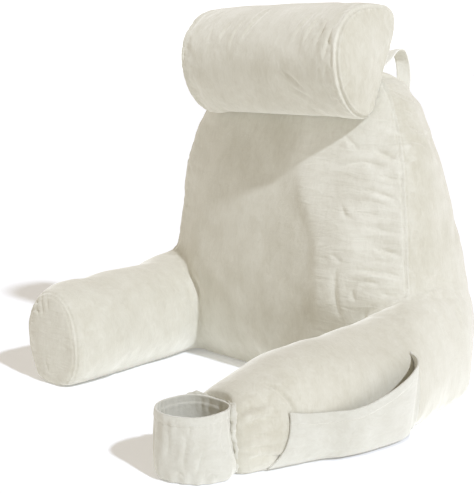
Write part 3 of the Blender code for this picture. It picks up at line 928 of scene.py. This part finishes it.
def bodySideX(place, height, spread=6 * mm):
    # the stuffed arm's outer side at (y, z): weighted mean of the body's own points round that spot
    points, normals = readSurface(pillowBody)
    x, y, z = points.T
    side = points[(normals[:, 0] > 0.15) & (x > 0.2) & (y < -0.14) & (z < 0.19)]
    spots = np.stack([place.ravel(), height.ravel()], axis=-1)
    found = np.empty(len(spots))
    for block in np.array_split(np.arange(len(spots)), 24):
        gap = ((spots[block, None] - side[None, :, 1:]) ** 2).sum(-1)
        weight = np.exp(-gap / (2 * spread ** 2)) + 1e-12
        found[block] = (weight * side[None, :, 0]).sum(1) / weight.sum(1)
    return found.reshape(place.shape)


def pocketGrid(columns, rows):
    # along the arm u, up the panel v: it hangs from the lip, which stands off the arm, and its foot stands out
    # less; rows lie closer together about the hem line, a set distance below the lip
    u, row = np.linspace(0, 1, columns)[:, None], np.linspace(0, 1, rows)[None, :]
    lipPlace = pocketEdge[0, 0] + (pocketEdge[-1, 0] - pocketEdge[0, 0]) * u
    height = tableColumn(pocketEdge, 1, lipPlace)
    off = tableColumn(pocketEdge, 2, lipPlace)
    foot, hem = pocketForm["foot"], pocketForm["hem"]
    below = foot + (height - hem - 3 * mm - foot) * rampUp(row, 0, 0.55)
    z = below + 6 * mm * rampUp(row, 0.55, 0.25) + (hem - 3 * mm) * rampUp(row, 0.8, 0.2)
    v = (z - foot) / (height - foot)
    slant = (pocketForm["frontFoot"] - pocketEdge[0, 0]) * (1 - u) ** 3
    y = lipPlace + slant * (1 - v) ** 1.9
    arm = bodySideX(y, z) + pocketForm["clearance"]
    lip = arm[:, -1:] + off
    hang = lip - pocketForm["footIn"] * (1 - v) ** 1.5 - (1 - rampUp(off, 0, 0.012)) * 0.03
    # whichever of the two stands further out, eased between
    x = np.log(np.exp(arm / 0.003) + np.exp(hang / 0.003)) * 0.003
    x = np.where(v > 0.97, np.minimum(x, lip + 0.5 * mm), x)
    sag = 1.5 * mm * np.sin(9 * np.pi * u + 2.0) * v * (1 - v) * 2  # soft upright waves in the slack panel
    drop = height - z
    band = pocketForm["hemLift"] * (np.tanh((hem - drop) / (0.8 * mm)) + 1) / 2
    band = band - 0.9 * mm * bell(drop - hem, 1.1 * mm)  # drawn in along the stitches
    return np.stack([x + sag + band, y, z], axis=-1)


pocketSheet = pocketGrid(110, 56)
sidePocket = skinGrid("sidePocket", pocketSheet[:, ::-1], hemPlushShaded, wrap=False, caps=False)
addWall(sidePocket, pocketForm["thickness"], 1)
bakeModifiers(sidePocket)
hemRow = int(round(pocketForm["hemShare"] * (pocketSheet.shape[1] - 1)))  # the grid row along the hem line
hemPlace = pocketSheet[2:-2, hemRow]
upwards = pocketSheet[2:-2, hemRow + 1] - pocketSheet[2:-2, hemRow - 1]
hemOut = unitRows(np.cross(np.gradient(hemPlace, axis=0), upwards))
hemOut *= np.sign(hemOut[:, :1])
pocketStitches = stitchRow("pocketStitches", hemPlace + hemOut * (pocketForm["thickness"] + 0.1 * mm), hemOut,
                           stitchLook)
print("pocket:", len(sidePocket.data.polygons), "faces")


holderForm = {
    "height": 0.096, "thickness": 3.0 * mm, "fold": 1.5 * mm, "armEnd": -0.5135, "flare": 0.04,
    "footSpread": 10 * mm, "hemLine": 0.083, "hemLift": 0.8 * mm, "gather": 0.35 * mm, "tuck": 2.2 * mm,
}
holderRings = np.array([  # height, radius
    [0.0000, 0.0060], [0.0001, 0.0220], [0.0003, 0.0400], [0.0030, 0.0470], [0.0120, 0.0510], [0.0270, 0.0525],
    [0.0480, 0.0515], [0.0700, 0.0505], [0.0870, 0.0500], [0.0960, 0.0492],
])
holderWall = holderRings[3:]  # without the flat bottom


def holderPoint(t, z, radius):
    # rings round the axis of the cup holder, behind it a rounded square that runs on into the arm; soft upright
    # folds, elastic gathers at the rim, a few uneven tucks at the foot
    form = holderForm
    share = rampUp(z, 0, form["height"])
    folds = form["fold"] * (0.6 * np.sin(3 * t + 0.7 + 2 * share) + 0.4 * np.sin(7 * t + 2.1 - 3 * share)
                            ) * np.sin(np.pi * share) ** 0.6
    hem = form["hemLift"] * (np.tanh((z - form["hemLine"]) / (0.8 * mm)) + 1) / 2
    hem = hem - 0.8 * mm * bell(z - form["hemLine"], 1.4 * mm)
    gathers = form["gather"] * np.sin(27 * t + 3 * np.sin(2 * t)) * (1 + np.sin(4 * t + 1))
    gathers = gathers * bell(z - form["hemLine"], 0.012)
    tucks = form["tuck"] * (np.sin(5 * t + 1.0) * np.sin(12 * t + np.sin(2 * t))) * bell(z - 0.006, 0.013)
    turned = np.arctan2(np.sin(t), np.cos(t))
    spread = form["footSpread"] * np.exp(-(z / 0.035) ** 2 - ((turned - 0.1) / 0.65) ** 2)  # slack by the arm
    r = radius + (spread + folds + hem + gathers + tucks) * rampUp(radius, 0.03, 0.015)
    behind = np.clip(np.sin(t), 0, 1)
    squarer = np.where(behind > 0, 2 / cupSeat["power"], 1.0)
    wider = 1 + form["flare"] * np.clip(behind * 1.6, 0, 1) ** 0.7 * (1 - share ** 3)
    x = cupSeat["centre"][0] + r * wider * np.sign(np.cos(t)) * np.abs(np.cos(t)) ** squarer
    y = cupSeat["centre"][1] + r * np.sign(np.sin(t)) * np.abs(np.sin(t)) ** squarer
    return np.stack([x, np.minimum(y, form["armEnd"]), z + 0 * x], axis=-1)


def onHolder(t, z):  # the point of its wall at this angle and height
    return holderPoint(t, z, tableColumn(holderWall, 1, z))


def holderGrid(rows, around):
    t = np.linspace(0, 2 * np.pi, around, endpoint=False)[None, :]
    outline = splineThrough(holderRings, rows)
    return holderPoint(t, outline[:, :1], outline[:, 1:])


holderFolds = [  # depth and width in mm, then angle in degrees and height in mm along each fold
    (1.6, 3.5, -52, 80, -50, 60, -54, 36, -50, 14), (1.8, 3.5, -22, 52, -30, 34, -36, 14),
    (1.3, 3.0, -42, 86, -45, 78, -44, 70), (1.4, 4.0, -84, 82, -80, 56, -86, 30),
    (1.6, 3.5, 8, 84, 4, 58, 10, 28), (2.0, 3.5, 24, 78, 22, 50, 27, 20),
    (1.5, 3.5, -118, 80, -122, 52, -117, 24), (1.9, 3.5, -150, 78, -152, 50, -148, 20),
    (2.4, 3.0, -20, 12, -13, 16, -6, 10), (1.6, 3.0, -66, 14, -60, 18, -54, 12),
]
cupHolder = skinGrid("cupHolder", holderGrid(90, 220), hemPlushShaded, caps="foot")
points, normals = readSurface(cupHolder)
moved = np.zeros(len(points))
for depth, width, *places in holderFolds:
    turn, height = splineThrough(np.reshape(places, (-1, 2)) / (1, 1000) * (math.radians(1), 1), 24).T
    moved += placedFold(points, normals, onHolder(turn, height), depth * mm, width * mm)
writePoints(cupHolder, points + normals * moved[:, None])
addWall(cupHolder, holderForm["thickness"], -1)
bakeModifiers(cupHolder)
print("cup holder:", len(cupHolder.data.polygons), "faces")

hemTurn = np.radians(np.linspace(146, 394, 300))
holderStitches = stitchRow("cupHolderStitches", onHolder(hemTurn, np.full(300, holderForm["hemLine"])),
                           np.column_stack([np.cos(hemTurn), np.sin(hemTurn), 0 * hemTurn]), stitchLook)

joinForm = {"radius": 6.5 * mm, "gather": 0.7 * mm, "pitch": 12 * mm, "turn": 36, "outwards": 3 * mm}


def holderJoin():
    # the gathered seam that joins the holder to the arm: up one side, across behind the rim and down the other.
    # tube along that line, its radius the sum of three sine waves along and round it, thin where it ends
    turns = np.radians([joinForm["turn"]] * 5 + [62, 90, 118] + [180 - joinForm["turn"]] * 5)
    heights = np.array([4, 30, 55, 78, 88, 94, 96, 94, 88, 78, 55, 30, 4]) / 1000
    line = splineThrough(onHolder(turns, heights), 260)
    out = unitRows((line - (*cupSeat["centre"], 0)) * (1, 1, 0))
    line = line + joinForm["outwards"] * out
    tangent = unitRows(np.gradient(line, axis=0))
    across = unitRows(np.cross(tangent, out))
    out = np.cross(across, tangent)
    travelled = np.linspace(0, np.linalg.norm(np.diff(line, axis=0), axis=1).sum(), 260)[:, None]
    angle = np.linspace(0, 2 * np.pi, 28, endpoint=False)[None, :]
    wave = travelled * 2 * np.pi / joinForm["pitch"] + 1.5 * np.sin(travelled / 0.017)
    gathers = joinForm["gather"] * (np.sin(wave + 1.2 * np.sin(angle)) + 1.3 * np.sin(0.43 * wave + 2 * angle))
    behind = rampUp(np.abs(travelled / travelled[-1] - 0.5), 0, 0.13) ** 2  # flat behind the rim
    radius = (joinForm["radius"] + gathers) * (0.25 + 0.75 * behind)
    radius = radius * np.clip(np.minimum(travelled, travelled[-1] - travelled) / (4 * mm) + 0.1, 0, 1) ** 0.5
    ring = line[:, None] + radius[..., None] * (np.cos(angle)[..., None] * across[:, None]
                                                + 0.75 * np.sin(angle)[..., None] * out[:, None])
    ring[..., 2] = np.maximum(ring[..., 2], 0.3 * mm)
    return skinGrid("cupHolderSeam", ring, hemPlushShaded)


cupHolderSeam = holderJoin()


# side view of a strap, y and z in mm: out of the roll, over the top, down behind the backrest
strapLine = np.array([
    [-52.5, 556], [-37, 553], [-18, 562], [2, 577], [19, 577], [31, 560], [36.5, 536], [36.5, 505], [40.5, 470],
    [49, 440],
]) / 1000
strapForm = {"offset": 0.150, "width": 25 * mm, "thickness": 2.0 * mm, "twist": math.radians(-28)}


def makeStrap(name, sign):
    path = splineThrough(strapLine, 140)
    across = np.linspace(-0.5, 0.5, 15)[None, :]
    along = np.linspace(0, 1, 140)[:, None]
    x = sign * strapForm["offset"] + strapForm["width"] * across * (1 - 0.05 * np.sin(np.pi * along)) + 0 * along
    tangent = unitRows(np.gradient(path, axis=0))
    outward = np.stack([-tangent[:, 1], tangent[:, 0]], axis=-1)
    curl = -0.9 * mm * (2 * across) ** 2  # the edges curl in a little
    twist = sign * strapForm["twist"] * bell(along - 0.56, 0.22)  # the loose loop turns outwards
    lift = curl - strapForm["width"] * across * np.sin(twist)
    x = x - strapForm["width"] * across * (1 - np.cos(twist))
    y = path[:, :1] + outward[:, :1] * lift
    z = path[:, 1:] + outward[:, 1:] * lift
    grid = np.stack([x, y, z], axis=-1)
    strap = skinGrid(name, grid, strapPlushLit, wrap=False, caps=False)
    addWall(strap, strapForm["thickness"], 0)
    keepOutside(strap, pillowBody, 0.6 * mm)
    bakeModifiers(strap)
    return strap


strapRight, strapLeft = makeStrap("strapRight", 1), makeStrap("strapLeft", -1)
print("straps made")


view = {"place": (1.330, -1.5556, 0.570), "azimuth": 45.0, "pitch": 9.79, "focalPixels": 1110, "longSide": 493}
cameraData = bpy.data.cameras.new("photoView")
camera = bpy.data.objects.new("photoView", cameraData)
scene.collection.objects.link(camera)
cameraData.sensor_width = 36.0
cameraData.lens = 36.0 * view["focalPixels"] / view["longSide"]
camera.location = view["place"]
turn, pitch = math.radians(view["azimuth"]), math.radians(view["pitch"])
gaze = Vector((-math.sin(turn) * math.cos(pitch), math.cos(turn) * math.cos(pitch), -math.sin(pitch)))
camera.rotation_euler = gaze.to_track_quat("-Z", "Y").to_euler()
scene.camera = camera

floorMaterial = bpy.data.materials.new("paleFloor")  # matt white floor with a little light of its own
floorMaterial.use_nodes = True
floorInputs = floorMaterial.node_tree.nodes["Principled BSDF"].inputs
for key, value in (("Base Color", toLinear("#fafcff")), ("Roughness", 0.9),
                   ("Emission Color", toLinear("#ffffff")), ("Emission Strength", 0.16)):
    floorInputs[key].default_value = value
floorMesh = bpy.data.meshes.new("floor")
floorMesh.from_pydata([(-30, -30, 0), (30, -30, 0), (30, 30, 0), (-30, 30, 0)], [], [(0, 1, 2, 3)])
floor = newPiece("floor", floorMesh, floorMaterial, smooth=False)

light = {
    "azimuth": 82.5, "elevation": 38.5, "softness": 3.0, "power": 2.45, "sunColor": "#e9f0ff",
    "fillSunSide": 0.34, "fillFarSide": 0.62, "fillColor": "#fff3e2",
    "horizon": 1.16, "horizonEnds": 0.07, "fillStarts": 0.20, "exposure": 0.05,
}
sunData = bpy.data.lights.new("mainLight", "SUN")
sunData.energy = light["power"]
sunData.angle = math.radians(light["softness"])
sunData.color = toLinear(light["sunColor"])[:3]
mainLight = bpy.data.objects.new("mainLight", sunData)
scene.collection.objects.link(mainLight)
side, rise = math.radians(light["azimuth"]), math.radians(light["elevation"])
away = Vector((math.sin(side) * math.cos(rise), -math.cos(side) * math.cos(rise), math.sin(rise)))
mainLight.location = away * 4
mainLight.rotation_euler = away.to_track_quat("Z", "Y").to_euler()
world = bpy.data.worlds.new("studio")  # warm fill, weaker on the sun's side; white low down like a studio cove
world.use_nodes = True
sky = world.node_tree
sky.nodes.clear()
skyPlace = addNode(sky, "ShaderNodeTexCoord")
skyAxes = addNode(sky, "ShaderNodeSeparateXYZ", None, {0: skyPlace.outputs["Generated"]})
skySide = addNode(sky, "ShaderNodeMapRange", {
    "From Min": -1.0, "From Max": 1.0, "To Min": light["fillFarSide"], "To Max": light["fillSunSide"]},
    {"Value": skyAxes.outputs["X"]})
skyFill = addNode(sky, "ShaderNodeMix", {"data_type": "RGBA", "blend_type": "MULTIPLY", 0: 1.0,
                                         6: toLinear(light["fillColor"])}, {7: skySide.outputs[0]})
skyLow = addNode(sky, "ShaderNodeMapRange", {
    "From Min": light["horizonEnds"], "From Max": light["fillStarts"], "To Min": 0.0, "To Max": 1.0},
    {"Value": skyAxes.outputs["Z"]})
skyMix = addNode(sky, "ShaderNodeMix", {"data_type": "RGBA", 6: (light["horizon"],) * 3 + (1.0,)},
                 {0: skyLow.outputs[0], 7: skyFill.outputs[2]})
skyLight = addNode(sky, "ShaderNodeBackground", {"Strength": 1.0}, {"Color": skyMix.outputs[2]})
addNode(sky, "ShaderNodeOutputWorld", None, {"Surface": skyLight.outputs["Background"]})
scene.world = world
scene.view_settings.view_transform = "Standard"
scene.view_settings.exposure = light["exposure"]

for piece, nodes, slot in (
        (pillowBody, ("backrest", "arm_right", "arm_left"), "plush"), (neckRoll, ("neck_roll",), "plush"),
        (cupHolderSeam, (), "hemmed_plush"), (pocketStitches, (), None), (holderStitches, (), None),
        (sidePocket, ("side_pocket",), "hemmed_plush"), (cupHolder, ("cup_holder",), "hemmed_plush"),
        (strapRight, ("neck_strap_right",), "strap"), (strapLeft, ("neck_strap_left",), "strap")):
    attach(piece, "root")
    if nodes:
        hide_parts(*nodes)
